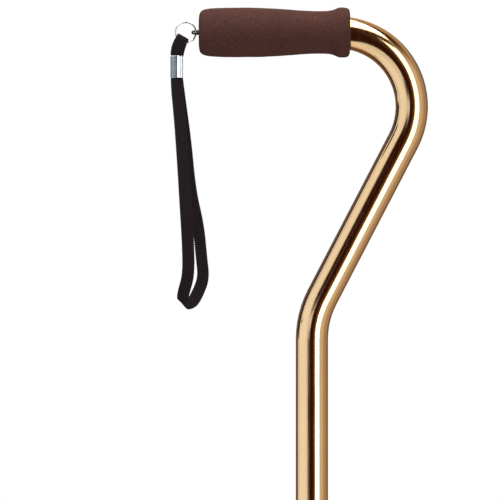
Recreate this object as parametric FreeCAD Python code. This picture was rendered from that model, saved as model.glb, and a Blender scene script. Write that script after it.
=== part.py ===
import FreeCAD, Part
import math
import os
from FreeCAD import Vector

# Quad walking cane with an offset handle, in millimetres, one solid per physical piece.
# Frame: the floor is z = 0 and the origin is midway between the four tips. +X is the side the
# handle bows out to, -Y is the side nearest a viewer who has the bow on the right.

X_AXIS = Vector(1, 0, 0)
Y_AXIS = Vector(0, 1, 0)
Z_AXIS = Vector(0, 0, 1)

# ---- Driving dimensions ----------------------------------------------------------------------

# Overall stance
FOOT_X = 101.0            # tip axis from the middle, sideways
FOOT_Y = 58.0             # tip axis from the middle, front to back
STEM_Y = -13.5            # the stem stands over the front leg tube, ahead of the middle
PLATE_TOP = 88.0
HANDLE_HEIGHT = 838.0     # top of the grip at the rest setting, the sixth of ten
HOLE_PITCH = 25.4
HOLE_COUNT = 10
REST_HOLE = 5             # counted from 0 at the lowest hole

# Base plate
PLATE_LENGTH = 114.0
PLATE_WIDTH = 71.0
PLATE_THICK = 3.0
PLATE_CORNER = 19.0
PLATE_EDGE = 1.0
PLATE_Y = -2.0

# Leg tubes: each is one bowed tube with a foot at both ends
LEG_R = 7.0
LEG_WALL = 1.5
LEG_DROP_DEG = 2.5        # how far the straight stretch falls away from the plate
LEG_KNEE_R = 45.0         # bend down to the foot
LEG_BOW_R = 57.0          # bend in plan under the plate
LEG_VERTEX_Y = 6.5        # where the two straight stretches would meet
PLATE_GAP = 0.1           # tangent tube under plate, bridged by the welds
WELD_R = 2.6
WELD_FROM, WELD_TO = 13.0, 37.0

# Rubber tips
TIP_HEIGHT = 33.5
TIP_BAND_R = 16.4
TIP_BAND_HEIGHT = 13.7
TIP_WAIST_R = 14.3
TIP_TOP_R = 12.5
TIP_RIM_R = 13.1
TIP_RIM_HEIGHT = 3.0
TIP_FLOOR = 9.0           # rubber under the tube end
TIP_WASHER_THICK = 1.2
SOLE_GROOVES = (5.0, 8.6, 12.2)
SOLE_GROOVE_WIDTH = 1.6
SOLE_GROOVE_DEPTH = 1.4

# Stem and handle tubes
STEM_R = 11.1             # 7/8 inch tube
STEM_WALL = 1.4
STEM_TOP = 455.0
HANDLE_R = 12.7           # 1 inch tube
HANDLE_WALL = 1.5
HANDLE_END = 241.6        # lower end of the handle tube at rest
FIRST_HOLE_UP = 46.0      # lowest hole above that end
HOLE_R = 3.35
RUNNING = 0.1             # radial clearance of parts that turn or slide on each other
CLEAR = 0.3               # gap between moving parts that don't touch

# Handle bends, all in the plane y = STEM_Y
GRIP_BEND_X = 20.3        # where the grip's straight stretch ends
GRIP_BEND_R = 58.2
LEAN_DEG = 27.5           # the diagonal's lean from vertical
ELBOW_DROP = 223.4        # grip axis down to the corner of the lower bend
ELBOW_R = 72.0
TUBE_START_X = -84.0

# Foam grip
GRIP_FACE_X = -88.9
GRIP_END_X = 29.9
GRIP_MAX_R = 19.4
GRIP_NECK_R = 16.8
GRIP_FACE_R = 11.5
FLANGE_R = 19.5

# Screw eye, split ring and crimp
EYE_WIRE_R = 1.2
EYE_MEAN_R = 2.95
EYE_X = -90.65
EYE_TILT_DEG = 20.0
EYE_SHANK_R = 1.5
EYE_SHANK_END_X = -72.0
RING_MEAN_R = 8.0
RING_X = -99.2
RING_RADIAL = 1.3
RING_THICK = 1.5
CRIMP_WIDTH = 9.9
CRIMP_THICK = 4.2
CRIMP_SHEET = 0.55
CRIMP_X = -106.3
CRIMP_TOP_DROP = 18.4     # below the grip axis
CRIMP_HEIGHT = 17.4

# Wrist strap
STRAP_WIDTH = 9.6
STRAP_THICK = 1.4

# Socket, collar nut and locking ring
SOCKET_R = 15.0
SOCKET_STEP = 5.6
NECK_R = 13.4
NECK_TOP = 103.0
NUT_R = 16.2
NUT_TOP = 108.5
COLLET_SLIT = 2.0
BOLT_R = 4.0
BOLT_HEAD_R = 7.2
LOCK_NUT_FLATS = 13.0
SLEEVE_R = 14.3
SLEEVE_DOWN, SLEEVE_UP = 9.0, 14.0
LOCK_R = 16.2
LOCK_DOWN, LOCK_UP = 11.5, 13.0
FLUTE_COUNT = 16
FLUTE_R = 1.6

# Snap button and its leaf spring
BUTTON_R = 3.15
BUTTON_REACH = 15.0       # tip from the stem axis
BUTTON_FOOT = 7.4
BUTTON_FLANGE_R = 4.3
SPRING_THICK = 0.6
SPRING_WIDTH = 6.0
SPRING_DROP = 34.0

# ---- Places that follow from them ------------------------------------------------------------

GRIP_Z = HANDLE_HEIGHT - GRIP_MAX_R
STEM_FOOT = PLATE_TOP + 0.4
BUTTON_Z = HANDLE_END + FIRST_HOLE_UP + REST_HOLE * HOLE_PITCH
STEM_BORE_R = STEM_R - STEM_WALL
LEG_TOP_Z = PLATE_TOP - PLATE_THICK - LEG_R - PLATE_GAP

# The strap's route, as (across, depth from the cane's plane, height from the grip axis).
# It starts in the crimp, goes up through the ring and back, hangs as a loop and returns.
STRAP_ROUTE = [
    (-106.3, -0.8, -28.6), (-105.8, -1.0, -19.5), (-101.6, -2.1, -10.2), (-99.2, -2.0, -3.9),
    (-99.2, 2.0, -3.9), (-101.6, 2.1, -10.2), (-105.8, 1.0, -19.5), (-106.3, 0.8, -34.0),
    (-103.7, 3.6, -53.5), (-99.8, 7.4, -86.0), (-95.6, 10.8, -122.0), (-90.6, 13.0, -149.0),
    (-87.2, 13.7, -174.0), (-86.8, 12.0, -191.5), (-88.5, 7.6, -202.8), (-92.2, 0.8, -209.2),
    (-97.2, -7.6, -208.2), (-99.5, -12.2, -200.2), (-98.9, -13.6, -187.5), (-97.4, -13.4, -164.5),
    (-98.4, -11.4, -135.5), (-101.2, -8.2, -99.5), (-103.8, -4.8, -66.0), (-105.9, -1.9, -42.0),
    (-106.3, -0.8, -30.2),
]
ROUTE_SHARE = 0.45        # of the shorter run that an arc may use up on each side


# ---- Helpers ---------------------------------------------------------------------------------

def at_stem(x, depth, z):
    """A point given from the cane's own plane, which holds the stem and the handle."""
    return Vector(x, STEM_Y + depth, z)


def turn_at(before, corner, after):
    """Unit directions into and out of a corner, and the angle between them."""
    come = (corner - before).normalize()
    leave = (after - corner).normalize()
    return come, leave, come.getAngle(leave)


def rounded_wire(corners, radii, closed=False):
    """Straight runs through the corners, joined by tangent arcs of the given radii."""
    count = len(corners)
    stops = []
    for index, corner in enumerate(corners):
        at_end = not closed and index in (0, count - 1)
        if at_end or radii[index] == 0:
            stops.append((corner, None, corner))
            continue
        come, leave, turn = turn_at(corners[index - 1], corner, corners[(index + 1) % count])
        reach = radii[index] * math.tan(turn / 2)
        inward = (leave - come).normalize() * radii[index] * (1 / math.cos(turn / 2) - 1)
        stops.append((corner - come * reach, corner + inward, corner + leave * reach))
    edges = []
    for index, (start, middle, end) in enumerate(stops):
        if middle is not None:
            edges.append(Part.Arc(start, middle, end).toShape())
        if index == count - 1 and not closed:
            break
        following = stops[(index + 1) % count][0]
        if end.distanceToPoint(following) > 1e-6:
            edges.append(Part.LineSegment(end, following).toShape())
    return Part.Wire(edges)


def turned(profile, centre, axis=Z_AXIS):
    """A solid of revolution from (radius, height, corner radius) points about an axis."""
    side = X_AXIS if abs(axis.x) < 0.5 else Z_AXIS
    corners = [centre + side * radius + axis * height for radius, height, _ in profile]
    wire = rounded_wire(corners, [corner for _, _, corner in profile], closed=True)
    return Part.Face(wire).revolve(centre, axis, 360)


def rod(radius, start, direction, length):
    return Part.makeCylinder(radius, length, start, direction)


def capsule(radius, start, end):
    """A round bar with ball ends."""
    body = rod(radius, start, end - start, (end - start).Length)
    for tip in (start, end):
        body = body.fuse(Part.makeSphere(radius, tip))
    return body.removeSplitter()


def hollow_tube(path, radius, wall):
    """A round tube along a path of runs and tangent arcs."""
    first = path.OrderedEdges[0]
    start = first.valueAt(first.FirstParameter)
    heading = first.tangentAt(first.FirstParameter)
    skins = []
    for size in (radius, radius - wall):
        ring = Part.Wire(Part.makeCircle(size, start, heading))
        skins.append(path.makePipeShell([ring], True, False))
    return skins[0].cut(skins[1]), skins[0]


def save(name, shape):
    shape.exportStep("parts/%s.step" % name)
    kept = "valid" if shape.isValid() else "NOT VALID"
    print("%-18s %2d solid(s) %10.1f mm3 %s" % (name, len(shape.Solids), shape.Volume, kept))


# ---- Base ------------------------------------------------------------------------------------

def base_plate():
    half_x, half_y = PLATE_LENGTH / 2, PLATE_WIDTH / 2
    low = PLATE_TOP - PLATE_THICK
    corners = [Vector(x, PLATE_Y + y, low) for x, y in
               ((-half_x, -half_y), (half_x, -half_y), (half_x, half_y), (-half_x, half_y))]
    outline = rounded_wire(corners, [PLATE_CORNER] * 4, closed=True)
    plate = Part.Face(outline).extrude(Z_AXIS * PLATE_THICK)
    rims = [edge for edge in plate.Edges if abs(edge.tangentAt(edge.FirstParameter).z) < 0.5]
    plate = plate.makeFillet(PLATE_EDGE, rims)
    return plate.cut(rod(BOLT_R + 0.2, at_stem(0, 0, low), Z_AXIS, PLATE_THICK))


def leg_path(side):
    """Centreline of one bowed leg tube: side is -1 for the front one, +1 for the rear one."""
    run = math.hypot(FOOT_X, FOOT_Y - LEG_VERTEX_Y)
    slope = math.atan2(FOOT_Y - LEG_VERTEX_Y, FOOT_X)
    bow = LEG_BOW_R * (1 / math.cos(slope) - 1)
    fall = math.tan(math.radians(LEG_DROP_DEG))
    vertex_z = LEG_TOP_Z + bow * fall / math.sin(slope)
    knee_z = vertex_z - run * fall
    foot_z = TIP_FLOOR + TIP_WASHER_THICK
    corners = [Vector(-FOOT_X, side * FOOT_Y, foot_z), Vector(-FOOT_X, side * FOOT_Y, knee_z),
               Vector(0, side * LEG_VERTEX_Y, vertex_z),
               Vector(FOOT_X, side * FOOT_Y, knee_z), Vector(FOOT_X, side * FOOT_Y, foot_z)]
    return rounded_wire(corners, [0, LEG_KNEE_R, LEG_BOW_R, LEG_KNEE_R, 0])


def leg_tubes():
    """The two leg tubes, and their outer skins for cutting other pieces."""
    front, front_skin = hollow_tube(leg_path(-1), LEG_R, LEG_WALL)
    rear, rear_skin = hollow_tube(leg_path(1), LEG_R, LEG_WALL)
    bolt_way = rod(BOLT_R + 0.2, at_stem(0, 0, LEG_TOP_Z - 2 * LEG_R), Z_AXIS, 4 * LEG_R)
    return front.cut(bolt_way), rear, [front_skin, rear_skin]


def weld_beads(plate, skins):
    """Weld runs in the crevices between the plate and both flanks of each leg tube."""
    slope = math.atan2(FOOT_Y - LEG_VERTEX_Y, FOOT_X)
    along = Vector(math.cos(slope), math.sin(slope), 0)
    flank = Vector(-math.sin(slope), math.cos(slope), 0) * (WELD_R * 1.9)
    low = Vector(0, LEG_VERTEX_Y, PLATE_TOP - PLATE_THICK - WELD_R / 2)
    beads = []
    for outward in (-1, 1):
        bead = capsule(WELD_R, low + along * WELD_FROM + flank * outward,
                       low + along * WELD_TO + flank * outward)
        for mirror_x in (1, -1):
            for mirror_y, skin in ((-1, skins[0]), (1, skins[1])):
                placed = bead if mirror_x > 0 else bead.mirror(Vector(), X_AXIS)
                placed = placed if mirror_y > 0 else placed.mirror(Vector(), Y_AXIS)
                beads.append(placed.cut([plate, skin]))
    return Part.makeCompound([solid for bead in beads for solid in bead.Solids])


def foot_places():
    return {"tip_front_left": (-FOOT_X, -FOOT_Y), "tip_front_right": (FOOT_X, -FOOT_Y),
            "tip_rear_left": (-FOOT_X, FOOT_Y), "tip_rear_right": (FOOT_X, FOOT_Y)}


def rubber_tip(x, y):
    """A push-on rubber ferrule with a wide band and ring grooves in its sole."""
    bore = LEG_R + 0.05
    rim_z = TIP_HEIGHT - TIP_RIM_HEIGHT
    profile = [(0, 0, 0), (TIP_BAND_R, 0, 2.6), (TIP_BAND_R, TIP_BAND_HEIGHT, 0.9),
               (TIP_WAIST_R, TIP_BAND_HEIGHT, 0.6), (TIP_TOP_R, rim_z, 0.3),
               (TIP_RIM_R, rim_z + 0.4, 0.3), (TIP_RIM_R, TIP_HEIGHT, 0.9),
               (bore + 2.2, TIP_HEIGHT, 0.5), (bore, TIP_HEIGHT - 3.0, 0), (bore, TIP_FLOOR, 0),
               (0, TIP_FLOOR, 0)]
    tip = turned(profile, Vector(x, y, 0))
    for radius in SOLE_GROOVES:
        ring = rod(radius + SOLE_GROOVE_WIDTH / 2, Vector(x, y, 0), Z_AXIS, SOLE_GROOVE_DEPTH)
        core = rod(radius - SOLE_GROOVE_WIDTH / 2, Vector(x, y, 0), Z_AXIS, SOLE_GROOVE_DEPTH)
        tip = tip.cut(ring.cut(core))
    return tip


def tip_washers():
    """A steel disc in each tip, under the tube end, that stops the tube cutting through."""
    return Part.makeCompound([rod(LEG_R - 0.2, Vector(x, y, TIP_FLOOR), Z_AXIS, TIP_WASHER_THICK)
                              for x, y in foot_places().values()])


def stem_socket():
    """The cup on the plate that the stem stands in, with a threaded neck for the collar nut."""
    bore = STEM_R + RUNNING
    profile = [(bore, 0, 0), (SOCKET_R - 0.3, 0, 0.4), (SOCKET_R, SOCKET_STEP, 0.5),
               (NECK_R, SOCKET_STEP, 0), (NECK_R, NECK_TOP - PLATE_TOP, 0.8),
               (bore, NECK_TOP - PLATE_TOP, 0)]
    return turned(profile, at_stem(0, 0, PLATE_TOP))


def collar_collet():
    """A split ring on top of the neck that the collar nut squeezes on to the stem."""
    height = NUT_TOP - 1.4 - CLEAR - NECK_TOP
    ring = turned([(STEM_R + RUNNING, 0, 0), (NECK_R, 0, 0.3), (NECK_R - 0.5, height, 0.5),
                   (STEM_R + RUNNING, height, 0)], at_stem(0, 0, NECK_TOP))
    slit = Part.makeBox(COLLET_SLIT, 2 * NECK_R, 2 * height,
                        at_stem(-COLLET_SLIT / 2, 0, NECK_TOP - height / 2))
    return ring.cut(slit)


def base_bolt():
    """Domed bolt up through the front leg tube, the plate and the stem's foot plug."""
    head_top = LEG_TOP_Z - LEG_R - 0.9
    head = turned([(0, 0, 0), (BOLT_HEAD_R * 0.62, 0, 1.2), (BOLT_HEAD_R, 2.2, 0.5),
                   (BOLT_HEAD_R, 3.0, 0), (0, 3.0, 0)], at_stem(0, 0, head_top - 3.0))
    shank = rod(BOLT_R, at_stem(0, 0, head_top - 0.5), Z_AXIS, 120.0 - head_top)
    return head.fuse(shank).removeSplitter()


def saddle_washer(skins):
    """Washer whose top is hollowed to sit against the round front leg tube."""
    low = LEG_TOP_Z - LEG_R - 0.9
    blank = rod(BOLT_HEAD_R + 0.3, at_stem(0, 0, low), Z_AXIS, 2.6)
    return blank.cut([skins[0], rod(BOLT_R + 0.2, at_stem(0, 0, low), Z_AXIS, 3.0)])


def lock_nut():
    """Hexagon lock nut and its washer on the bolt, inside the stem tube."""
    low = at_stem(0, 0, 108.0 + CLEAR)
    washer = rod(8.2, low, Z_AXIS, 1.6)
    across = LOCK_NUT_FLATS / math.sqrt(3)
    corners = [low + Vector(across * math.cos(math.radians(a)), across * math.sin(math.radians(a)),
                            1.6) for a in range(0, 420, 60)]
    nut = Part.Face(Part.makePolygon(corners)).extrude(Z_AXIS * 8.0)
    return washer.fuse(nut).cut(rod(BOLT_R, low, Z_AXIS, 12.0))


def collar_nut():
    """Barrel-shaped hand nut round the foot of the stem."""
    low = PLATE_TOP + SOCKET_STEP + CLEAR
    height = NUT_TOP - low
    thread = NECK_R + RUNNING
    mouth = STEM_R + 0.5
    profile = [(thread, 0, 0), (NUT_R - 0.8, 0, 0.5), (NUT_R, 5.2, 14.0), (NUT_R - 0.3, 10.0, 8.0),
               (NUT_R - 1.7, height, 1.0), (mouth, height, 0.4), (mouth, height - 1.4, 0),
               (thread, height - 1.4, 0)]
    return turned(profile, at_stem(0, 0, low))


# ---- Stem ------------------------------------------------------------------------------------

def stem_tube():
    length = STEM_TOP - STEM_FOOT
    tube = rod(STEM_R, at_stem(0, 0, STEM_FOOT), Z_AXIS, length)
    tube = tube.cut(rod(STEM_BORE_R, at_stem(0, 0, STEM_FOOT), Z_AXIS, length))
    return tube.cut(rod(BUTTON_R + RUNNING, at_stem(0, 0, BUTTON_Z), Y_AXIS, 2 * STEM_R))


def stem_foot_plug():
    """Plug in the stem's foot that turns on the bolt."""
    foot = at_stem(0, 0, STEM_FOOT)
    plug = rod(STEM_BORE_R - 0.05, foot, Z_AXIS, 108.0 - STEM_FOOT)
    return plug.cut(rod(BOLT_R + RUNNING, foot, Z_AXIS, 108.0 - STEM_FOOT))


def stem_top_bush():
    """Plastic bush in the stem's top end that keeps it from rattling in the handle tube."""
    profile = [(6.0, 0, 0), (STEM_BORE_R - 0.05, 0, 0.6), (STEM_BORE_R - 0.05, 14.0, 0),
               (STEM_R, 14.0, 0), (STEM_R, 16.0, 0.8), (6.0, 16.0, 0.5)]
    return turned(profile, at_stem(0, 0, STEM_TOP - 14.0))


def snap_button():
    """Round-nosed steel button that sticks out through the stem and the handle tube."""
    nose = 2.2
    profile = [(0, 0, 0), (BUTTON_FLANGE_R, 0, 0.3), (BUTTON_FLANGE_R, 1.2, 0.3), (BUTTON_R, 1.2, 0),
               (BUTTON_R, BUTTON_REACH - BUTTON_FOOT, nose), (0, BUTTON_REACH - BUTTON_FOOT, 0)]
    return turned(profile, at_stem(0, BUTTON_FOOT, BUTTON_Z), Y_AXIS)


def button_spring():
    """Leaf spring folded into a U inside the stem, behind the button."""
    front = BUTTON_FOOT - SPRING_THICK / 2 - 0.2
    back = -STEM_BORE_R + SPRING_THICK / 2 + 0.6
    corners = [at_stem(0, front, BUTTON_Z + 6), at_stem(0, front - 1.0, BUTTON_Z - SPRING_DROP),
               at_stem(0, back + 1.0, BUTTON_Z - SPRING_DROP), at_stem(0, back, BUTTON_Z + 6)]
    path = rounded_wire(corners, [0, 6.0, 6.0, 0])
    half_x, half_t = SPRING_WIDTH / 2, SPRING_THICK / 2
    section = [corners[0] + Vector(x, y, 0) for x, y in
               ((-half_x, -half_t), (half_x, -half_t), (half_x, half_t), (-half_x, half_t))]
    return path.makePipeShell([Part.makePolygon(section + section[:1])], True, False)


# ---- Handle ----------------------------------------------------------------------------------

def handle_path():
    """Centreline of the handle tube: grip, quarter-and-a-bit bend, diagonal, then straight down."""
    lean = math.radians(LEAN_DEG)
    turn = math.pi / 2 + lean
    bend_corner = GRIP_BEND_X + GRIP_BEND_R * math.tan(turn / 2)
    corners = [at_stem(TUBE_START_X, 0, GRIP_Z), at_stem(bend_corner, 0, GRIP_Z),
               at_stem(0, 0, GRIP_Z - ELBOW_DROP), at_stem(0, 0, HANDLE_END)]
    return rounded_wire(corners, [0, GRIP_BEND_R, ELBOW_R, 0])


def handle_tube():
    tube, skin = hollow_tube(handle_path(), HANDLE_R, HANDLE_WALL)
    holes = [rod(HOLE_R, at_stem(0, 0, HANDLE_END + FIRST_HOLE_UP + step * HOLE_PITCH), Y_AXIS,
                 2 * HANDLE_R) for step in range(HOLE_COUNT)]
    return tube.cut(holes), skin


def foam_grip(handle_skin):
    """Foam sleeve: a long swell for the palm, a neck for the forefinger and a thumb flange."""
    def point(x, radius):
        return at_stem(x, 0, GRIP_Z + radius)

    swell = Part.BSplineCurve()
    swell.interpolate([point(-84.0, 17.6), point(-75.0, 19.0), point(-58.0, GRIP_MAX_R),
                       point(-36.0, 19.1), point(-16.0, 17.8), point(-3.0, 16.95),
                       point(8.0, GRIP_NECK_R), point(15.2, 17.25), point(20.0, 18.9),
                       point(24.0, FLANGE_R)])
    shoulder = Part.Arc(point(GRIP_FACE_X, GRIP_FACE_R), point(-87.3, 15.4), point(-84.0, 17.6))
    rim = Part.Arc(point(24.0, FLANGE_R), point(28.0, 18.7), point(GRIP_END_X, 15.5))
    edges = [shoulder.toShape(), swell.toShape(), rim.toShape()]
    ends = [point(GRIP_END_X, 15.5), point(GRIP_END_X, 0), point(GRIP_FACE_X, 0),
            point(GRIP_FACE_X, GRIP_FACE_R)]
    edges += [Part.LineSegment(a, b).toShape() for a, b in zip(ends, ends[1:])]
    solid = Part.Face(Part.Wire(edges)).revolve(point(0, 0), X_AXIS, 360)
    pocket = rod(EYE_MEAN_R + EYE_WIRE_R + 0.6, point(GRIP_FACE_X, 0), X_AXIS, 2.4)
    shank_way = rod(EYE_SHANK_R + 0.1, point(GRIP_FACE_X, 0), X_AXIS, 10.0)
    cap_way = rod(HANDLE_R, point(TUBE_START_X - 1.5, 0), X_AXIS, 2.0)
    return solid.cut([handle_skin, pocket, shank_way, cap_way])


def grip_end_plug():
    """Plug in the tube's end, under the foam, that the screw eye bites into."""
    inner = HANDLE_R - HANDLE_WALL - 0.05
    start = at_stem(TUBE_START_X - 1.5, 0, GRIP_Z)
    plug = turned([(0, 0, 0), (HANDLE_R, 0, 0.5), (HANDLE_R, 1.5, 0), (inner, 1.5, 0),
                   (inner, 17.0, 0.8), (0, 17.0, 0)], start, X_AXIS)
    return plug.cut(rod(EYE_SHANK_R, start, X_AXIS, EYE_SHANK_END_X - start.x))


def screw_eye():
    centre = at_stem(EYE_X, 0, GRIP_Z)
    eye = Part.makeTorus(EYE_MEAN_R, EYE_WIRE_R, centre, Z_AXIS)
    eye.rotate(centre, X_AXIS, EYE_TILT_DEG)
    shank_x = EYE_X + EYE_MEAN_R - 0.2
    shank = rod(EYE_SHANK_R, at_stem(shank_x, 0, GRIP_Z), X_AXIS, EYE_SHANK_END_X - shank_x)
    return eye.fuse(shank).removeSplitter()


def split_ring():
    """Two flat turns of spring wire, side by side, with a groove between them."""
    half_r, half_t, groove = RING_RADIAL / 2, RING_THICK / 2, 0.18
    inner, outer = RING_MEAN_R - half_r, RING_MEAN_R + half_r
    profile = [(inner, -half_t, 0.25), (outer, -half_t, 0.25), (outer, -groove, 0),
               (outer - groove, 0, 0), (outer, groove, 0), (outer, half_t, 0.25),
               (inner, half_t, 0.25), (inner, groove, 0), (inner + groove, 0, 0),
               (inner, -groove, 0)]
    return turned(profile, at_stem(RING_X, 0, GRIP_Z), Y_AXIS)


def strap_crimp():
    """Sheet-metal clip folded round both layers of the strap."""
    low = at_stem(CRIMP_X, 0, GRIP_Z - CRIMP_TOP_DROP - CRIMP_HEIGHT)

    def bar(width, thick, corner):
        half_x, half_y = width / 2, thick / 2
        corners = [low + Vector(x, y, 0) for x, y in
                   ((-half_x, -half_y), (half_x, -half_y), (half_x, half_y), (-half_x, half_y))]
        outline = rounded_wire(corners, [corner] * 4, closed=True)
        return Part.Face(outline).extrude(Z_AXIS * CRIMP_HEIGHT)

    shell = bar(CRIMP_WIDTH, CRIMP_THICK, 1.2)
    return shell.cut(bar(CRIMP_WIDTH - 2 * CRIMP_SHEET, CRIMP_THICK - 2 * CRIMP_SHEET, 0.6))


def wrist_strap():
    """Flat webbing along its route of runs and arcs, its width kept across the cane."""
    points = [at_stem(x, depth, GRIP_Z + height) for x, depth, height in STRAP_ROUTE]
    radii = [0]
    for before, corner, after in zip(points, points[1:], points[2:]):
        turn = turn_at(before, corner, after)[2]
        shorter = min(corner.distanceToPoint(before), corner.distanceToPoint(after))
        radii.append(ROUTE_SHARE * shorter / math.tan(turn / 2))
    radii.append(0)
    path = rounded_wire(points, radii)
    heading = (points[1] - points[0]).normalize()
    depth_way = heading.cross(X_AXIS).normalize() * (STRAP_THICK / 2)
    width_way = X_AXIS * (STRAP_WIDTH / 2)
    section = [points[0] + a + b for a, b in
               ((-width_way, -depth_way), (width_way, -depth_way), (width_way, depth_way),
                (-width_way, depth_way))]
    sweep = Part.BRepOffsetAPI.MakePipeShell(path)
    sweep.setBiNormalMode(X_AXIS)
    sweep.add(Part.makePolygon(section + section[:1]))
    sweep.build()
    sweep.makeSolid()
    band = sweep.shape()
    print("strap length %.1f mm, radii" % path.Length, [round(r, 1) for r in radii[1:-1]])
    print("strap volume %.0f mm3, section x length %.0f mm3"
          % (band.Volume, STRAP_WIDTH * STRAP_THICK * path.Length))
    return band


# ---- Height lock -----------------------------------------------------------------------------

def lock_sleeve():
    """Slit sleeve on the handle tube's end: a thread outside, spring fingers on the stem."""
    stem_fit = STEM_R + RUNNING
    tube_fit = HANDLE_R + 0.05
    low = at_stem(0, 0, HANDLE_END - SLEEVE_DOWN)
    profile = [(stem_fit, 0, 0), (SLEEVE_R - 1.6, 0, 0.3), (SLEEVE_R, SLEEVE_DOWN - 2, 1.0),
               (SLEEVE_R, SLEEVE_DOWN + SLEEVE_UP, 0.5), (tube_fit, SLEEVE_DOWN + SLEEVE_UP, 0),
               (tube_fit, SLEEVE_DOWN - 0.1, 0), (stem_fit, SLEEVE_DOWN - 0.1, 0)]
    sleeve = turned(profile, low)
    slit = Part.makeBox(4 * SLEEVE_R, 1.4, SLEEVE_DOWN - 2, low + Vector(-2 * SLEEVE_R, -0.7, 0))
    crossing = Part.makeBox(1.4, 4 * SLEEVE_R, SLEEVE_DOWN - 2, low + Vector(-0.7, -2 * SLEEVE_R, 0))
    return sleeve.cut([slit, crossing])


def locking_ring():
    """Fluted hand nut that squeezes the sleeve's fingers on to the stem."""
    low = at_stem(0, 0, HANDLE_END - LOCK_DOWN)
    height = LOCK_DOWN + LOCK_UP
    thread = SLEEVE_R + RUNNING
    mouth = STEM_R + 0.5
    lip = LOCK_DOWN - SLEEVE_DOWN - CLEAR
    profile = [(mouth, 0, 0), (LOCK_R - 1.2, 0, 1.0), (LOCK_R, 2.4, 0.8), (LOCK_R, height - 1.6, 0.8),
               (LOCK_R - 0.8, height, 0.4), (thread, height, 0), (thread, lip, 0), (mouth, lip, 0)]
    ring = turned(profile, low)
    flutes = []
    for step in range(FLUTE_COUNT):
        angle = 2 * math.pi * step / FLUTE_COUNT
        middle = low + Vector(math.cos(angle), math.sin(angle), 0) * (LOCK_R + FLUTE_R * 0.62)
        flutes.append(capsule(FLUTE_R, middle + Z_AXIS * 5.0, middle + Z_AXIS * (height - 4.4)))
    return ring.cut(flutes)


# ---- Build -----------------------------------------------------------------------------------

def main():
    os.makedirs("parts", exist_ok=True)
    plate = base_plate()
    front_leg, rear_leg, leg_skins = leg_tubes()
    handle, handle_skin = handle_tube()
    pieces = {
        "base_plate": plate,
        "front_leg_tube": front_leg,
        "rear_leg_tube": rear_leg,
        "weld_beads": weld_beads(plate, leg_skins),
        "tip_washers": tip_washers(),
        "stem_socket": stem_socket(),
        "collar_collet": collar_collet(),
        "base_bolt": base_bolt(),
        "saddle_washer": saddle_washer(leg_skins),
        "lock_nut": lock_nut(),
        "collar_nut": collar_nut(),
        "stem_tube": stem_tube(),
        "stem_foot_plug": stem_foot_plug(),
        "stem_top_bush": stem_top_bush(),
        "snap_button": snap_button(),
        "button_spring": button_spring(),
        "handle_tube": handle,
        "foam_grip": foam_grip(handle_skin),
        "grip_end_plug": grip_end_plug(),
        "screw_eye": screw_eye(),
        "split_ring": split_ring(),
        "strap_crimp": strap_crimp(),
        "wrist_strap": wrist_strap(),
        "lock_sleeve": lock_sleeve(),
        "locking_ring": locking_ring(),
    }
    for name, (x, y) in foot_places().items():
        pieces[name] = rubber_tip(x, y)
    for name, shape in pieces.items():
        save(name, shape)


main()
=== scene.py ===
import math

import bpy
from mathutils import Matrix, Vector, noise


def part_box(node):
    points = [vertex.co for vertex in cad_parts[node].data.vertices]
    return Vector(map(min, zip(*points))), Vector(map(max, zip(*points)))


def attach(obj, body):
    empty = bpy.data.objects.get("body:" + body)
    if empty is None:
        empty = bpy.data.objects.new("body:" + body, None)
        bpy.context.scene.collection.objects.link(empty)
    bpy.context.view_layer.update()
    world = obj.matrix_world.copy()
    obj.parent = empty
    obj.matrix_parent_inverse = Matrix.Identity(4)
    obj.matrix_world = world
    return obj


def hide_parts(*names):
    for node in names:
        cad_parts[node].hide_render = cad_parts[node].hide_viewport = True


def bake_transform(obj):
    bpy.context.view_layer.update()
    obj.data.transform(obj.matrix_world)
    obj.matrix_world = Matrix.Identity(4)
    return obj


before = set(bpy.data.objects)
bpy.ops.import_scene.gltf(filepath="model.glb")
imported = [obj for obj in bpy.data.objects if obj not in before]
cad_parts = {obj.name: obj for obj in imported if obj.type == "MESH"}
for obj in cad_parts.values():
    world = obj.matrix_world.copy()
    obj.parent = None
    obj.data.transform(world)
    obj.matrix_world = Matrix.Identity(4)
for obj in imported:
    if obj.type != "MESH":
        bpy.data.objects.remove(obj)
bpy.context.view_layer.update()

# A quad walking cane with an offset handle. Values are in metres unless a comment says otherwise,
# in the CAD frame: the floor is z = 0, the handle bows out towards +X, and the camera is at -Y.

MM = 0.001

# ---- Camera ----------------------------------------------------------------------------------

CANE_Y = -13.5 * MM                    # the plane that the stem and handle lie in
VIEW_WIDTH = 393.0 * MM                # what the picture shows across, at that plane
VIEW_AT = Vector((-48.65 * MM, CANE_Y, 647.6 * MM))
CAMERA_AWAY = 2.2
SENSOR = 36.0

# ---- Wrist strap -----------------------------------------------------------------------------

STRAP_WIDTH = 9.6 * MM
STRAP_THICK = 1.4 * MM
RIB_PITCH = 1.65 * MM
RIB_HEIGHT = 0.22 * MM
STEPS_PER_RIB = 5
EDGE_NOTCH = 0.28 * MM                 # how far the edge draws in between two ribs
SELVEDGE = 0.82                        # share of the half width where the ribs stop
# The section's points, as shares of the half width and half thickness: one face, then one edge.
FACE_POINTS = [-SELVEDGE, -0.55, -0.28, 0.0, 0.28, 0.55, SELVEDGE]
EDGE_POINTS = [(0.92, 1.02), (0.985, 0.62), (1.0, 0.0), (0.985, -0.62), (0.92, -1.02)]
GRIP_Z = 818.6 * MM                    # the grip's axis

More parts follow.
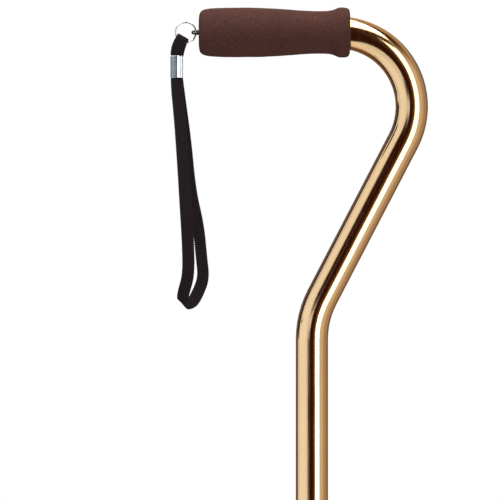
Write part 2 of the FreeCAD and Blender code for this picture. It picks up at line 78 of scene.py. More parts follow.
# The CAD route's points, most of them moved to follow the photograph, those at the bottom
# of the loop the most, by up to 8.3 mm. Each is (across, depth from the cane's plane, height from
# the grip's axis) in millimetres, with the direction that the webbing's width lies in there.
STRAP_ROUTE = [
    ((-106.3, -0.8, -28.6), (1, 0, 0)), ((-106.6, -1.0, -19.5), (1, 0, -0.05)),
    ((-105.7, -2.1, -11.2), (0.88, 0, -0.46)), ((-101.3, -2.0, -3.5), (0.86, 0, -0.5)),
    ((-100.9, 2.0, -3.5), (0.86, 0, -0.5)), ((-104.2, 2.1, -10.6), (0.88, 0, -0.46)),
    ((-106.1, 1.0, -19.5), (1, 0, -0.05)), ((-106.5, 0.8, -34.0), (1, 0, 0)),
    ((-103.9, 3.6, -53.5), (1, 0.1, 0)), ((-99.4, 7.4, -86.0), (0.97, 0.22, 0)),
    ((-95.9, 10.8, -124.0), (0.97, 0.25, 0)), ((-89.3, 13.0, -152.0), (0.93, 0.33, 0)),
    ((-86.9, 13.7, -178.0), (0.93, 0.35, -0.05)), ((-85.2, 12.6, -193.0), (0.95, 0.25, -0.25)),
    ((-89.9, 9.6, -205.4), (0.85, 0.05, -0.5)), ((-94.6, 3.8, -213.4), (0.62, -0.3, -0.75)),
    ((-102.6, -5.6, -214.2), (0.62, -0.25, -0.78)), ((-100.6, -11.4, -204.0), (0.9, -0.05, -0.42)),
    ((-96.6, -13.6, -190.5), (1, 0, -0.15)), ((-97.0, -13.4, -166.5), (1, 0, 0)),
    ((-99.0, -11.4, -135.5), (1, 0, 0)), ((-101.2, -8.2, -99.5), (1, 0, 0)),
    ((-103.7, -4.8, -66.0), (1, 0, 0)), ((-106.2, -1.9, -42.0), (1, 0, 0)),
    ((-106.3, -0.8, -30.2), (1, 0, 0)),
]

# ---- Strap clip ------------------------------------------------------------------------------

CLIP_SQUEEZE = 0.55 * MM               # how much the clip gathers each edge of the webbing
CLIP_LEAD = 1.0 * MM                   # where that starts, beyond the clip's ends
CLIP_RAMP = 1.5 * MM                   # the run over which it comes in
CLIP_SLOPE_LEFT, CLIP_SLOPE_RIGHT = 0.185, 0.30   # how far each half leans back from the seam
CLIP_SHEET = 0.5 * MM
CLIP_HALF_SEAM = 0.26 * MM
CLIP_ROLL_END = 1.3 * MM               # where the rolled edges end, behind the front corners
CLIP_ROLL_START = 0.4 * MM             # how far behind the seam's front they run straight back
CLIP_LIP = 0.25 * MM                   # the bend from the face into the seam
CLIP_NIP = 0.05 * MM                   # how near the outline comes to a sharp corner
CLIP_FRONT_CORNER = (1.1 * MM, 1.2 * MM)   # a front corner's reach along the face and the side
CLIP_BACK_CORNER = (0.3 * MM, 1.0 * MM)    # a back corner's reach along the back and the side
CLIP_ROWS = 32
CLIP_END_DRAW = 0.03                   # the share by which the clip narrows at its ends
CLIP_END_REACH = 0.35 * MM

# ---- Split ring ------------------------------------------------------------------------------

RING_HALF_WIRE = 0.65 * MM             # half the wire's width, outwards from the ring's middle
RING_TRIM = 0.02 * MM                  # keeps each turn inside the CAD ring's thickness
RING_STEPS = 120                       # per turn
RING_SIDES = 12                        # round the wire
RING_START = math.radians(200)         # where round the ring the wire starts
RING_CROSS = math.radians(380)         # how far along the wire it starts to step across
RING_CROSS_RUN = math.radians(50)      # how long that step is
RING_SHORT = 6                         # steps by which the two turns stop short
RING_TAPER = 5                         # steps over which each end thickens
RING_TIP = 0.45                        # the thickness share at the very end

# ---- Foam grip -------------------------------------------------------------------------------

# The grip's outline in millimetres, as (distance from its closed face, radius).
GRIP_OUTLINE = [
    (0.0, 0.0), (0.0, 6.0), (0.0, 12.2), (1.1, 16.4), (5.2, 18.5), (14.0, 19.2), (28.0, 19.5),
    (44.0, 19.4), (58.0, 18.9), (72.0, 17.9), (84.0, 16.9), (96.0, 16.6), (103.0, 16.9),
    (107.0, 18.2), (110.0, 19.7), (114.5, 19.7), (117.6, 18.9), (118.8, 16.6), (118.8, 12.9),
]
GRIP_SIDES = 160
GRIP_WAVES = [(0.16 * MM, 11 * MM), (0.05 * MM, 2 * MM)]   # height and size of the unevenness
GRIP_CALM = 10 * MM                    # nearer to the axis than this, the unevenness fades

# ---- Leaf spring -----------------------------------------------------------------------------

LEAF_THICK = 0.6 * MM
# The section's points, as shares of the half width and half thickness.
LEAF_SECTION = [(-0.94, 1), (0.94, 1), (1, 0.5), (1, -0.5),
                (0.94, -1), (-0.94, -1), (-1, -0.5), (-1, 0.5)]
LEAF_LEAN = 1.0 * MM                   # how far each leg comes in at the fold
LEAF_KNEE = 0.9 * LEAF_LEAN            # how far it has come in where the fold starts
LEAF_CORNER = 5.0 * MM                 # how high above the fold's bottom that is

# ---- Studio and floor ------------------------------------------------------------------------

ROOM_COLOUR = (0.036, 0.0078, 0.0020)
PANEL_FILL = 0.65                      # how much of the panels' light falls on matt surfaces
GOLDEN, COOL = (1.0, 0.66, 0.28), (1.0, 1.11, 1.28)
# Soft panels, in degrees, as (from azimuth, to azimuth, from elevation, to elevation, level,
# softness of the left, of the right and of the bottom and top edges, colour, lean of the left,
# right and top edges). Without a colour a panel is white. The camera is at azimuth 0.
PANELS = [
    (-121, -32, -7, 0, 0.92, (2, 5, 3), COOL),
    (-111, -19, -66, -7, 0.92, (2, 3, 3), COOL),
    (-105, -31, 0, 60, 0.92, (2, 4, 3), COOL, (-0.18, -0.42, 0)),
    (-31, -17, 0, 7, 0.92, (4, 3, 3), COOL, (-0.42, 0, 0)),
    (-98, -45, -66, 60, 0.18, (14, 9, 4), COOL),
    (22, 52, -66, 22.5, 3.5, (3, 2, 2), (0.96, 1.0, 1.13), (-0.03, -0.12, 0.30)),
    (54, 128, -66, 40, 0.44, (2, 14, 14), (1.0, 0.86, 0.74), (-0.12, 0, 0)),
    (54, 86, -66, 36, 0.36, (2, 17, 12), (1.0, 0.98, 1.0), (-0.12, 0, 0)),
    (10, 25, -66, 20, 0.10, (9, 3, 8), GOLDEN),
    (-60, 60, 38, 60, 0.10, (8, 8, 4), GOLDEN),
    (128, 179.9, -66, 5, 0.17, (8, 1, 8), GOLDEN),
    (-179.9, -128, -66, 5, 0.17, (1, 8, 8), GOLDEN),
    (128, 179.9, 5, 60, 0.12, (8, 1, 8), COOL),
    (-179.9, -128, 5, 60, 0.12, (1, 8, 8), COOL),
    (166, 179.9, 8, 26, 0.9, (3, 1, 4)),
    (-179.9, -166, 8, 26, 0.9, (1, 3, 4)),
    (110, 179.9, 30, 66, 0.42, (12, 1, 8), GOLDEN),
    (-179.9, -110, 30, 66, 0.42, (1, 12, 8), GOLDEN),
    (-70, -48, 42, 60, 14.0, (3, 3, 4)),
    (50, 70, 56, 66, 14.0, (3, 3, 3)),
]
TOP_PANEL = (1.70, 1.70)               # across and front to back
TOP_PANEL_AT = Vector((-0.163, -0.479, 2.05))
TOP_PANEL_TURN = math.radians(36)
TOP_PANEL_LEVEL = 4.6
BOUNCE = (1.1, 0.8)
BOUNCE_AT = Vector((0.0, -0.25, 0.001))
BOUNCE_LEVEL = 1.05
# The lamps that only the glossy black pieces reflect.
GLINT = (0.18, 0.55)                   # across and upright
GLINT_AWAY = 0.9
GLINT_HEIGHT = 0.22
GLINTS = [(96, 16.0), (-92, 9.0)]      # azimuth in degrees, and level
FLOOR_REACH = Vector((0.80, 0.50, 1.0))
FLOOR_SOLID = 0.45                     # the share of its reach where the floor starts to fade
FLOOR_CENTRE = Vector((0.0, -0.14, -0.3 * MM))
FLOOR_RINGS = (1.0, 0.7, 0.35, 0.01)   # shares of its reach
FLOOR_SIDES = 96


# ---- Mesh helpers ----------------------------------------------------------------------------

def smooth_line(controls, per_point=24):
    """Points along the smooth NURBS line that the given points control."""
    curve = bpy.data.curves.new("line", "CURVE")
    curve.dimensions = "3D"
    spline = curve.splines.new("NURBS")
    spline.points.add(len(controls) - 1)
    for point, place in zip(spline.points, controls):
        point.co = (*place, 1)
    spline.order_u = 3
    spline.use_endpoint_u = True
    spline.resolution_u = per_point
    holder = bpy.data.objects.new("line", curve)
    mesh = bpy.data.meshes.new_from_object(holder)
    line = [v.co.copy() for v in mesh.vertices]
    bpy.data.meshes.remove(mesh)
    bpy.data.objects.remove(holder)
    bpy.data.curves.remove(curve)
    return line


def evenly(line, beside, step):
    """The line again with points a step apart, and what runs beside it at the same places."""
    runs = [(b - a).length for a, b in zip(line, line[1:])]
    total = sum(runs)
    count = round(total / step)
    places, others, done, i = [], [], 0.0, 0
    for k in range(count + 1):
        want = total * k / count
        while i < len(runs) - 1 and done + runs[i] < want:
            done += runs[i]
            i += 1
        share = min(1.0, (want - done) / runs[i])
        places.append(line[i].lerp(line[i + 1], share))
        others.append(beside[i].lerp(beside[i + 1], share))
    return places, others, total / count


def skin(name, rings, closed_ends=True, uvs=None):
    """A mesh object over rings of points, each with the same count."""
    count = len(rings[0])
    points = [p for ring in rings for p in ring]
    faces = []
    for i in range(len(rings) - 1):
        here, there = i * count, (i + 1) * count
        for j in range(count):
            k = (j + 1) % count
            faces.append((here + j, here + k, there + k, there + j))
    if closed_ends:
        faces.append(tuple(reversed(range(count))))
        faces.append(tuple(range(len(points) - count, len(points))))
    mesh = bpy.data.meshes.new(name)
    mesh.from_pydata([tuple(p) for p in points], [], faces)
    mesh.validate()
    if uvs:
        layer = mesh.uv_layers.new(name="weave")
        for face in mesh.polygons:
            for corner in face.loop_indices:
                layer.data[corner].uv = uvs[mesh.loops[corner].vertex_index]
    mesh.shade_smooth()
    piece = bpy.data.objects.new(name, mesh)
    bpy.context.scene.collection.objects.link(piece)
    return piece


def wear(piece, material, body, stands_for):
    """The piece's finish, the body that it rides on and the CAD node that it replaces."""
    piece.data.materials.append(material)
    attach(piece, body)
    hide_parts(stands_for)


# ---- Materials -------------------------------------------------------------------------------

def add_node(tree, kind, inputs, **settings):
    """A shader node with its inputs linked to a socket or set to a value."""
    node = tree.nodes.new(kind)
    for key, value in settings.items():
        setattr(node, key, value)
    for key, value in inputs.items():
        if isinstance(value, bpy.types.NodeSocket):
            tree.links.new(value, node.inputs[key])
        else:
            node.inputs[key].default_value = value
    return node


class Finish:
    """One procedural material: a Principled shader and short ways to feed its sockets."""

    def __init__(self, name, **constants):
        self.material = bpy.data.materials.new(name)
        self.material.use_nodes = True
        self.tree = self.material.node_tree
        self.shader = next(n for n in self.tree.nodes if n.type == "BSDF_PRINCIPLED")
        self.coordinates = self.add("ShaderNodeTexCoord")
        self.normal = None
        for socket, value in constants.items():
            self.shader.inputs[socket.replace("_", " ")].default_value = value

    def add(self, kind, inputs=None, **settings):
        return add_node(self.tree, kind, inputs or {}, **settings)

    def feed(self, socket, value):
        self.tree.links.new(value, self.shader.inputs[socket])

    def stretched(self, stretch, source="Object"):
        """Coordinates scaled along each axis, so that a pattern gets shorter or longer there."""
        mapping = self.add("ShaderNodeMapping", {"Vector": self.coordinates.outputs[source],
                                                 "Scale": stretch})
        return mapping.outputs["Vector"]

    def noise(self, size, detail=2.0, stretch=(1, 1, 1), roughness=0.5):
        """Cloudy noise from 0 to 1, with features about that size in metres."""
        return self.add("ShaderNodeTexNoise", {"Vector": self.stretched(stretch), "Scale": 1 / size,
                                               "Detail": detail, "Roughness": roughness}
                        ).outputs["Fac"]

    def cells(self, size):
        """The distance to the middle of the nearest of many cells, each about that size."""
        return self.add("ShaderNodeTexVoronoi", {"Vector": self.coordinates.outputs["Object"],
                                                 "Scale": 1 / size}).outputs["Distance"]

    def remap(self, value, low, high, to_low=0.0, to_high=1.0):
        return self.add("ShaderNodeMapRange", {"Value": value, "From Min": low, "From Max": high,
                                               "To Min": to_low, "To Max": to_high}
                        ).outputs["Result"]

    def maths(self, operation, a, b):
        return self.add("ShaderNodeMath", {0: a, 1: b}, operation=operation).outputs[0]

    def blend(self, share, first, second):
        """Two colours mixed by a share from 0 to 1."""
        mix = self.add("ShaderNodeMix", {"Factor": share}, data_type="RGBA")
        for place, colour in ((6, first), (7, second)):
            if isinstance(colour, bpy.types.NodeSocket):
                self.tree.links.new(colour, mix.inputs[place])
            else:
                mix.inputs[place].default_value = (*colour, 1)
        return mix.outputs[2]

    def bump(self, height, depth, strength=1.0):
        """Relief that deep in metres, on top of any relief given before."""
        inputs = {"Height": height, "Distance": depth, "Strength": strength}
        if self.normal:
            inputs["Normal"] = self.normal
        self.normal = self.add("ShaderNodeBump", inputs).outputs["Normal"]
        self.feed("Normal", self.normal)


def bronze():
    """Bright anodised aluminium under clear lacquer, with faint rubbing along the tube."""
    f = Finish("bronze_anodised", Metallic=1.0, Coat_Weight=0.4, Coat_Roughness=0.03,
               Coat_IOR=1.5)
    cloud = f.noise(45 * MM, detail=3)
    rubbed = f.noise(1.6 * MM, detail=4, stretch=(1, 1, 0.06))
    f.feed("Base Color", f.blend(f.remap(cloud, 0.3, 0.7), (0.76, 0.510, 0.250),
                                 (0.72, 0.470, 0.225)))
    f.feed("Roughness", f.remap(rubbed, 0.35, 0.75, 0.085, 0.15))
    f.bump(f.noise(2.2 * MM, detail=1), 0.003 * MM, 0.5)
    return f.material


def black_gloss(name, peel, roughness, streaks=(1, 1, 1)):
    """Glossy black paint or anodising, with orange peel and a little dust."""
    f = Finish(name, Specular_IOR_Level=0.2)
    dust = f.noise(0.9 * MM, detail=5, stretch=streaks, roughness=0.7)
    f.feed("Base Color", f.blend(f.remap(dust, 0.58, 0.8), (0.0035, 0.0033, 0.0032),
                                 (0.016, 0.015, 0.014)))
    haze = f.noise(14 * MM, detail=3)
    f.feed("Roughness", f.remap(haze, 0.3, 0.7, roughness, roughness * 1.7))
    f.bump(f.noise(peel, detail=1), 0.02 * MM, 0.35)
    return f.material


def plated(name, colour, roughness, grain, stretch=(1, 1, 1)):
    """Plated steel: cloudy shine and fine drawing marks."""
    f = Finish(name, Metallic=1.0)
    marks = f.noise(grain, detail=4, stretch=stretch)
    cloud = f.noise(3.5 * MM, detail=2)
    darker = tuple(c * 0.82 for c in colour)
    f.feed("Base Color", f.blend(f.remap(cloud, 0.35, 0.7), colour, darker))
    f.feed("Roughness", f.remap(marks, 0.3, 0.7, roughness * 0.75, roughness * 1.35))
    f.bump(marks, 0.01 * MM, 0.5)
    return f.material


def foam():
    """Dense closed-cell foam: a fine skin of cells, matt, with soft uneven colour."""
    f = Finish("foam_brown", Roughness=0.93, Specular_IOR_Level=0.12)
    cell = f.cells(0.45 * MM)
    speck = f.noise(0.35 * MM, detail=3, roughness=0.7)
    cloud = f.noise(16 * MM, detail=4)
    mottle = f.noise(1.1 * MM, detail=3, stretch=(1, 1, 0.7), roughness=0.6)
    body = f.blend(f.remap(cloud, 0.3, 0.7), (0.084, 0.0325, 0.0238), (0.072, 0.0276, 0.0200))
    body = f.blend(f.remap(mottle, 0.36, 0.62), (0.040, 0.0156, 0.0115), body)
    f.feed("Base Color", f.blend(f.remap(f.maths("MULTIPLY", cell, speck), 0.08, 0.34),
                                 (0.038, 0.0150, 0.0110), body))
    f.bump(cell, 0.10 * MM, 0.55)
    f.bump(mottle, 0.22 * MM, 0.7)
    return f.material


def webbing():
    """Black woven webbing: twisted warp yarns along it, painted shade in the grooves between its
    ribs, and paler specks as painted highlights on stray fibres.
    """
    f = Finish("webbing_black", Roughness=0.85, Sheen_Weight=0.02, Sheen_Roughness=0.4,
               Specular_IOR_Level=0.10)
    along = f.stretched((26.0, 1 / RIB_PITCH, 1), source="UV")
    parts = f.add("ShaderNodeSeparateXYZ", {"Vector": along})
    yarn = f.maths("SINE", f.maths("MULTIPLY", parts.outputs["X"], 2 * math.pi), 0.0)
    pick = f.maths("SINE", f.maths("MULTIPLY", parts.outputs["Y"], 2 * math.pi), 0.0)
    # Painted shade: the webbing is darkest in the grooves between its ribs, with the small check of
    # the woven yarns on top; the same pattern also drives the bump.
    weave = f.maths("ADD", f.maths("MULTIPLY", f.maths("MULTIPLY", yarn, pick), 0.4),
                   f.maths("MULTIPLY", pick, 0.6))
    # Painted highlights: paler specks where stray fibres would catch the light; the same specks are
    # raised as bumps.
    fibre_glint = f.noise(0.22 * MM, detail=4, roughness=0.7)
    # The darker colour is the painted shade between the ribs, the lighter one the webbing's black
    # on the ribs' tops.
    base = f.blend(f.remap(weave, -0.6, 0.8), (0.0008, 0.0004, 0.0004), (0.0205, 0.0128, 0.0128))
    # The pale colour is the painted highlight on the stray fibres.
    f.feed("Base Color", f.blend(f.remap(fibre_glint, 0.62, 0.8), base, (0.045, 0.035, 0.037)))
    f.bump(weave, 0.10 * MM, 0.8)
    f.bump(fibre_glint, 0.05 * MM, 0.6)
    return f.material


def moulded(name, dark, pale, roughness):
    """Moulded plastic: a fine spark-eroded texture and slight scuffs."""
    f = Finish(name, Specular_IOR_Level=0.3)
    scuff = f.noise(1.5 * MM, detail=5, stretch=(1, 1, 0.4), roughness=0.65)
    f.feed("Base Color", f.blend(f.remap(scuff, 0.55, 0.8), dark, pale))
    f.feed("Roughness", f.remap(f.noise(5 * MM, detail=3), 0.3, 0.7, roughness, roughness * 1.4))
    f.bump(f.noise(0.25 * MM, detail=2), 0.02 * MM, 0.6)
    return f.material


def rubber():
    """Grey rubber with faint upright streaks, chalkier towards the floor, and mould grain."""
    f = Finish("rubber_grey", Specular_IOR_Level=0.35)
    low = f.add("ShaderNodeSeparateXYZ", {"Vector": f.coordinates.outputs["Object"]}).outputs["Z"]
    near_floor = f.remap(low, 0.0, 12 * MM, 1.0, 0.0)
    streaks = f.noise(3.0 * MM, detail=4, stretch=(1, 1, 0.3), roughness=0.6)
    worn = f.remap(f.maths("ADD", streaks, f.maths("MULTIPLY", near_floor, 0.12)), 0.38, 0.78)
    body = f.blend(worn, (0.029, 0.030, 0.034), (0.062, 0.063, 0.067))
    grit = f.noise(0.5 * MM, detail=3, roughness=0.7)
    f.feed("Base Color", f.blend(f.remap(grit, 0.66, 0.8), body, (0.10, 0.10, 0.098)))
    f.feed("Roughness", f.remap(f.noise(7 * MM, detail=3), 0.3, 0.7, 0.5, 0.75))
    f.bump(f.noise(0.4 * MM, detail=3), 0.03 * MM, 0.6)
    return f.material


FINISHES = {
    "bronze": bronze(),
    "stem": black_gloss("black_anodised", 1.6 * MM, 0.08, streaks=(1, 1, 0.08)),
    "frame": black_gloss("black_enamel", 1.3 * MM, 0.06),
    "foam": foam(),
    "webbing": webbing(),
    "ring": plated("nickel_satin", (0.80, 0.76, 0.68), 0.22, 0.5 * MM),
    "eye": plated("nickel_dark", (0.055, 0.053, 0.050), 0.20, 0.5 * MM),
    "clip": plated("clip_nickel", (0.34, 0.365, 0.36), 0.17, 0.12 * MM, stretch=(1, 1, 0.05)),
    "zinc": plated("zinc_plate", (0.58, 0.59, 0.60), 0.34, 0.7 * MM),
    "spring": plated("spring_steel", (0.55, 0.55, 0.56), 0.22, 0.3 * MM),
    "dark_zinc": plated("black_zinc", (0.06, 0.058, 0.056), 0.3, 0.7 * MM),
    "plastic": moulded("black_moulding", (0.011, 0.011, 0.012), (0.04, 0.04, 0.04), 0.22),
    "inner": moulded("dark_moulding", (0.035, 0.035, 0.037), (0.07, 0.07, 0.07), 0.4),
    "rubber": rubber(),
}

NODE_FINISHES = {
    "bronze": ["handle_tube"],
    "stem": ["stem_tube"],
    "frame": ["base_plate", "front_leg_tube", "rear_leg_tube", "weld_beads", "stem_socket"],
    "zinc": ["lock_nut", "tip_washers"],
    "dark_zinc": ["base_bolt", "saddle_washer"],
    "spring": ["snap_button"],
    "eye": ["screw_eye"],
    "plastic": ["collar_nut", "locking_ring", "collar_collet"],
    "inner": ["stem_foot_plug", "stem_top_bush", "grip_end_plug", "lock_sleeve"],
    "rubber": ["tip_front_left", "tip_front_right", "tip_rear_left", "tip_rear_right"],
}


def dress_cad_nodes():
    for finish, nodes in NODE_FINISHES.items():
        for name in nodes:
            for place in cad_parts[name].material_slots:
                place.material = FINISHES[finish]


# ---- Pieces ----------------------------------------------------------------------------------

def camera():
    data = bpy.data.cameras.new("camera")
    data.sensor_width = SENSOR
    data.lens = SENSOR * CAMERA_AWAY / VIEW_WIDTH
    data.clip_start = 0.05
    data.clip_end = 50
    eye = bpy.data.objects.new("camera", data)
    eye.location = VIEW_AT - Vector((0, CAMERA_AWAY, 0))
    eye.rotation_euler = (math.pi / 2, 0, 0)
    bpy.context.scene.collection.objects.link(eye)
    bpy.context.scene.camera = eye


def webbing_section(lift):
    """Points round the webbing, as (across, up) shares: flat faces, and rounded selvedges."""
    face = [(x, 1.0 + (lift if abs(x) < SELVEDGE else 0)) for x in FACE_POINTS]
    back = [(x, -y) for x, y in reversed(face)]
    return face + EDGE_POINTS + back + [(-x, -y) for x, y in EDGE_POINTS]


def wrist_strap():
    """Ribbed webbing that follows the route, from the clip through the ring and round the loop."""
    places = [Vector((x, CANE_Y / MM + depth, GRIP_Z / MM + height)) * MM
              for (x, depth, height), _ in STRAP_ROUTE]
    line = smooth_line(places)
    widths = smooth_line([Vector(w) for _, w in STRAP_ROUTE])
    line, widths, step = evenly(line, widths, RIB_PITCH / STEPS_PER_RIB)
    half_width, half_thick = STRAP_WIDTH / 2, STRAP_THICK / 2 - RIB_HEIGHT
    clip_low, clip_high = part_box("strap_crimp")
    rings, uvs = [], []
    for i, place in enumerate(line):
        heading = (line[min(i + 1, len(line) - 1)] - line[max(i - 1, 0)]).normalized()
        across = (widths[i] - heading * widths[i].dot(heading)).normalized()
        out = across.cross(heading)
        wave = 0.5 - 0.5 * math.cos(2 * math.pi * i / STEPS_PER_RIB)
        section = webbing_section(RIB_HEIGHT * wave / half_thick)
        inside = min(place.z - clip_low.z, clip_high.z - place.z) + CLIP_LEAD
        squeeze = CLIP_SQUEEZE * min(1.0, max(0.0, inside / CLIP_RAMP))
        reach = half_width + EDGE_NOTCH * (wave - 0.5) - squeeze
        rings.append([place + across * (x * reach) + out * (y * half_thick) for x, y in section])
        uvs += [(0.5 + x / 2, i * step) for x, _ in section]
    strap = skin("strap_webbing", rings, uvs=uvs)
    wear(strap, FINISHES["webbing"], "strap", "wrist_strap")
    return strap, line


def clip_half(way, slope, half_x, half_y):
    """The outside of one half of the clip, from the seam round to the middle of the back."""
    front = -half_y - slope * half_x
    on_face, up_side = CLIP_FRONT_CORNER
    on_back, down_side = CLIP_BACK_CORNER
    points = [
        (CLIP_HALF_SEAM, -half_y + CLIP_ROLL_END), (CLIP_HALF_SEAM, front + CLIP_ROLL_START),
        (CLIP_HALF_SEAM + 0.4 * CLIP_NIP, front + CLIP_NIP),
        (CLIP_HALF_SEAM + CLIP_LIP, front + slope * CLIP_LIP),
        (half_x / 2, front + slope * half_x / 2), (half_x - on_face, -half_y),
        (half_x - CLIP_NIP, -half_y + 2 * CLIP_NIP), (half_x, -half_y + up_side), (half_x, 0.0),
        (half_x, half_y - down_side), (half_x - on_back, half_y), (half_x / 2, half_y),
        (0.0, half_y)]
    return smooth_line([Vector((way * x, y, 0)) for x, y in points], per_point=8)


def strap_clip():
    """Sheet folded round both layers, its two edges rolled in to a seam at the front."""
    low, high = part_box("strap_crimp")
    middle = (low + high) / 2
    half_x, half_y = (high.x - low.x) / 2, (high.y - low.y) / 2
    right = clip_half(1, CLIP_SLOPE_RIGHT, half_x, half_y)
    left = clip_half(-1, CLIP_SLOPE_LEFT, half_x, half_y)
    outside = right + left[::-1][1:]
    inside = []
    for i, p in enumerate(outside):
        heading = outside[min(i + 1, len(outside) - 1)] - outside[max(i - 1, 0)]
        inside.append(p + Vector((-heading.y, heading.x, 0)).normalized() * CLIP_SHEET)
    loop = outside + inside[::-1]
    rings = []
    for row in range(CLIP_ROWS + 1):
        share = row / CLIP_ROWS
        end = min(share, 1 - share) * (high.z - low.z)
        size = 1 - CLIP_END_DRAW * math.exp(-end / CLIP_END_REACH)
        rings.append([Vector((middle.x + p.x * size, middle.y + p.y * size,
                              low.z + (high.z - low.z) * share)) for p in loop])
    clip = skin("strap_clip", rings)
    wear(clip, FINISHES["clip"], "strap", "strap_crimp")
    return clip


def split_ring():
    """Two turns of flattened spring wire, stepping from one turn to the other."""
    low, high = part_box("split_ring")
    middle = (low + high) / 2
    mean = (high.x - low.x) / 2 - RING_HALF_WIRE
    thick = (high.y - low.y) / 4 - RING_TRIM       # half a turn's thickness
    steps = 2 * RING_STEPS - RING_SHORT
    rings = []
    for i in range(steps):
        angle = 2 * math.pi * i / RING_STEPS
        across = min(1.0, max(0.0, (angle - RING_CROSS) / RING_CROSS_RUN))
        depth = -thick + 2 * thick * (across * across * (3 - 2 * across))
        slim = min(1.0, RING_TIP + (1 - RING_TIP) * min(i, steps - 1 - i) / RING_TAPER)
        turn = angle + RING_START
        way = Vector((math.cos(turn), 0, math.sin(turn)))
        ring = []
        for j in range(RING_SIDES):
            around = 2 * math.pi * j / RING_SIDES
            ring.append(middle + way * (mean + RING_HALF_WIRE * math.cos(around))
                        + Vector((0, depth + thick * slim * math.sin(around), 0)))
        rings.append(ring)
    wear(skin("ring_coil", rings), FINISHES["ring"], "ring", "split_ring")


def foam_grip():
    """The grip, turned from its outline, with the slight unevenness of moulded foam."""
    low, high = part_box("foam_grip")
    axis = (low + high) / 2
    outline = smooth_line([Vector((along, radius, 0)) * MM for along, radius in GRIP_OUTLINE],
                          per_point=8)
    rings = []
    for p in outline:
        ring = []
        for j in range(GRIP_SIDES):
            turn = 2 * math.pi * j / GRIP_SIDES
            way = Vector((0, math.cos(turn), math.sin(turn)))
            spot = Vector((low.x + p.x, 0, 0)) + way * p.y
            uneven = sum(height * noise.noise(spot / size) for height, size in GRIP_WAVES)
            radius = max(0.0, p.y + uneven * min(1.0, p.y / GRIP_CALM))
            ring.append(Vector((low.x + p.x, axis.y, axis.z)) + way * radius)
        rings.append(ring)
    grip = skin("grip_foam", rings, closed_ends=False)
    wear(grip, FINISHES["foam"], "handle", "foam_grip")


def leaf_spring():
    """The folded leaf behind the snap button, shaped at rest; in the real cane its front leg gives
    way as the button goes in.
    """
    low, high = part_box("button_spring")
    half_thick = LEAF_THICK / 2
    front, back = high.y - half_thick, low.y + half_thick
    foot = low.z + half_thick
    line = smooth_line([Vector((0, y, z)) for y, z in [
        (front, high.z), (front - LEAF_KNEE, foot + LEAF_CORNER), (front - LEAF_LEAN, foot),
        (back + LEAF_LEAN, foot), (back + LEAF_KNEE, foot + LEAF_CORNER), (back, high.z)]])
    rings = []
    for i, place in enumerate(line):
        heading = (line[min(i + 1, len(line) - 1)] - line[max(i - 1, 0)]).normalized()
        out = Vector((0, heading.z, -heading.y)) * half_thick
        rings.append([place + Vector((x * high.x, 0, 0)) + out * y for x, y in LEAF_SECTION])
    spring = skin("leaf_spring", rings)
    spring.data.materials.append(FINISHES["spring"])
    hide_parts("button_spring")
    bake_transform(spring)


# ---- Studio ----------------------------------------------------------------------------------

def studio():
    """A white room, and the soft panels that the gloss reflects, by direction from the cane."""
    world = bpy.data.worlds.new("studio")
    bpy.context.scene.world = world
    world.use_nodes = True
    tree = world.node_tree
    tree.nodes.clear()

    def add(kind, inputs, **settings):
        return add_node(tree, kind, inputs, **settings)

    def maths(operation, a, b=0.0):
        return add("ShaderNodeMath", {0: a, 1: b}, operation=operation).outputs[0]

    def edge(value, at, soft, rising=True):
        low, high = (0.0, 1.0) if rising else (1.0, 0.0)
        return add("ShaderNodeMapRange",
                   {"Value": value, "From Min": math.radians(at - soft),
                    "From Max": math.radians(at + soft), "To Min": low, "To Max": high},
                   interpolation_type="SMOOTHSTEP").outputs["Result"]

    where = add("ShaderNodeSeparateXYZ",
                {"Vector": add("ShaderNodeTexCoord", {}).outputs["Generated"]})
    azimuth = maths("ARCTAN2", where.outputs["X"], maths("MULTIPLY", where.outputs["Y"], -1.0))
    elevation = maths("ARCSINE", where.outputs["Z"])

    def lean(value, amount, other):
        """The value less a share of the other one, for an edge that leans."""
        return maths("SUBTRACT", value, maths("MULTIPLY", other, amount)) if amount else value

    def panel(left, right, bottom, top, level, soft, colour=(1, 1, 1), leans=(0, 0, 0)):
        """Light between two azimuths and two elevations."""
        soft_left, soft_right, soft_top = soft
        across = maths("MULTIPLY", edge(lean(azimuth, leans[0], elevation), left, soft_left),
                       edge(lean(azimuth, leans[1], elevation), right, soft_right, False))
        up = maths("MULTIPLY", edge(elevation, bottom, soft_top),
                   edge(lean(elevation, leans[2], azimuth), top, soft_top, False))
        share = maths("MULTIPLY", across, up)
        return add("ShaderNodeVectorMath", {0: tuple(level * c for c in colour), 3: share},
                   operation="SCALE").outputs[0]

    light = add("ShaderNodeCombineXYZ", dict(enumerate(ROOM_COLOUR))).outputs[0]
    for row in PANELS:
        light = add("ShaderNodeVectorMath", {0: light, 1: panel(*row)}, operation="ADD").outputs[0]
    ray = add("ShaderNodeLightPath", {})
    dimmed = maths("MULTIPLY", ray.outputs["Is Diffuse Ray"], 1.0 - PANEL_FILL)
    reflected = add("ShaderNodeBackground", {"Color": light,
                                             "Strength": maths("SUBTRACT", 1.0, dimmed)})
    white = add("ShaderNodeBackground", {"Color": (1, 1, 1, 1), "Strength": 1.0})
    both = add("ShaderNodeMixShader", {0: ray.outputs["Is Camera Ray"], 1: reflected.outputs[0],
                                       2: white.outputs[0]})
    add("ShaderNodeOutputWorld", {"Surface": both.outputs[0]})


def panel_light(name, size, place, level):
    """A flat rectangular light of that size and brightness, facing down."""
    data = bpy.data.lights.new(name, "AREA")
    data.shape = "RECTANGLE"
    data.size, data.size_y = size
    data.energy = math.pi * size[0] * size[1] * level
    lamp = bpy.data.objects.new(name, data)
    lamp.location = place
    lamp.visible_camera = False
    bpy.context.scene.collection.objects.link(lamp)
    return lamp


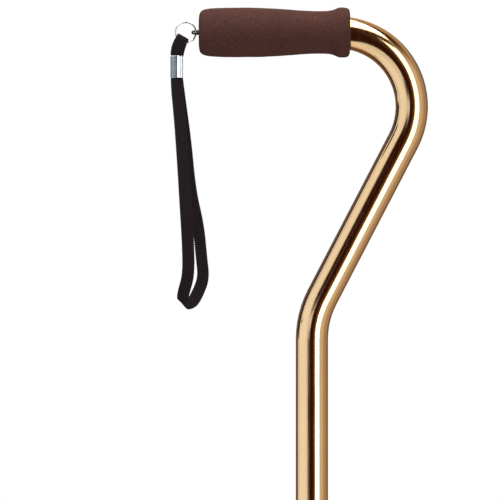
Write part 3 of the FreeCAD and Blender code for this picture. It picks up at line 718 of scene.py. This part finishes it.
def panel_lights():
    """The big panel overhead, and the light that comes back up off the floor."""
    top = panel_light("top_panel", TOP_PANEL, TOP_PANEL_AT, TOP_PANEL_LEVEL)
    top.rotation_euler = (0, 0, TOP_PANEL_TURN)
    bounce = panel_light("floor_bounce", BOUNCE, BOUNCE_AT, BOUNCE_LEVEL)
    bounce.rotation_euler = (math.pi, 0, 0)
    bounce.visible_glossy = False
    blacks = bpy.data.collections.new("glossy_blacks")
    for name in NODE_FINISHES["stem"] + NODE_FINISHES["frame"]:
        blacks.objects.link(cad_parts[name])
    for azimuth, level in GLINTS:
        turn = math.radians(azimuth)
        way = Vector((math.sin(turn), -math.cos(turn), 0))
        place = Vector((0, CANE_Y, GLINT_HEIGHT)) + way * GLINT_AWAY
        glint = panel_light("glint", GLINT, place, level)
        glint.rotation_euler = (math.pi / 2, 0, math.atan2(way.x, -way.y))
        glint.visible_diffuse = False
        glint.light_linking.receiver_collection = blacks


def floor():
    """A plain pale floor, which fades out round the cane."""
    f = Finish("floor_pale", Roughness=0.6, Specular_IOR_Level=0.3)
    f.feed("Base Color", f.blend(f.noise(0.2, detail=3), (0.74, 0.74, 0.74), (0.72, 0.72, 0.725)))
    from_centre = f.add("ShaderNodeVectorMath", {0: f.coordinates.outputs["Object"],
                                                 1: FLOOR_CENTRE}, operation="SUBTRACT")
    shares = f.add("ShaderNodeVectorMath", {0: from_centre.outputs[0], 1: FLOOR_REACH},
                   operation="DIVIDE")
    away = f.add("ShaderNodeVectorMath", {0: shares.outputs[0]}, operation="LENGTH")
    f.feed("Alpha", f.remap(away.outputs["Value"], FLOOR_SOLID, 1.0, 1.0, 0.0))
    rings = []
    for share in FLOOR_RINGS:
        rings.append([FLOOR_CENTRE + share * Vector((FLOOR_REACH.x * math.cos(t),
                                                     FLOOR_REACH.y * math.sin(t), 0))
                      for t in (2 * math.pi * k / FLOOR_SIDES for k in range(FLOOR_SIDES))])
    top = skin("floor", rings, closed_ends=False)
    top.data.materials.append(f.material)


camera()
strap, strap_line = wrist_strap()
clip = strap_clip()
split_ring()
foam_grip()
leaf_spring()
dress_cad_nodes()
studio()
panel_lights()
floor()
bpy.context.scene.view_settings.view_transform = "Standard"
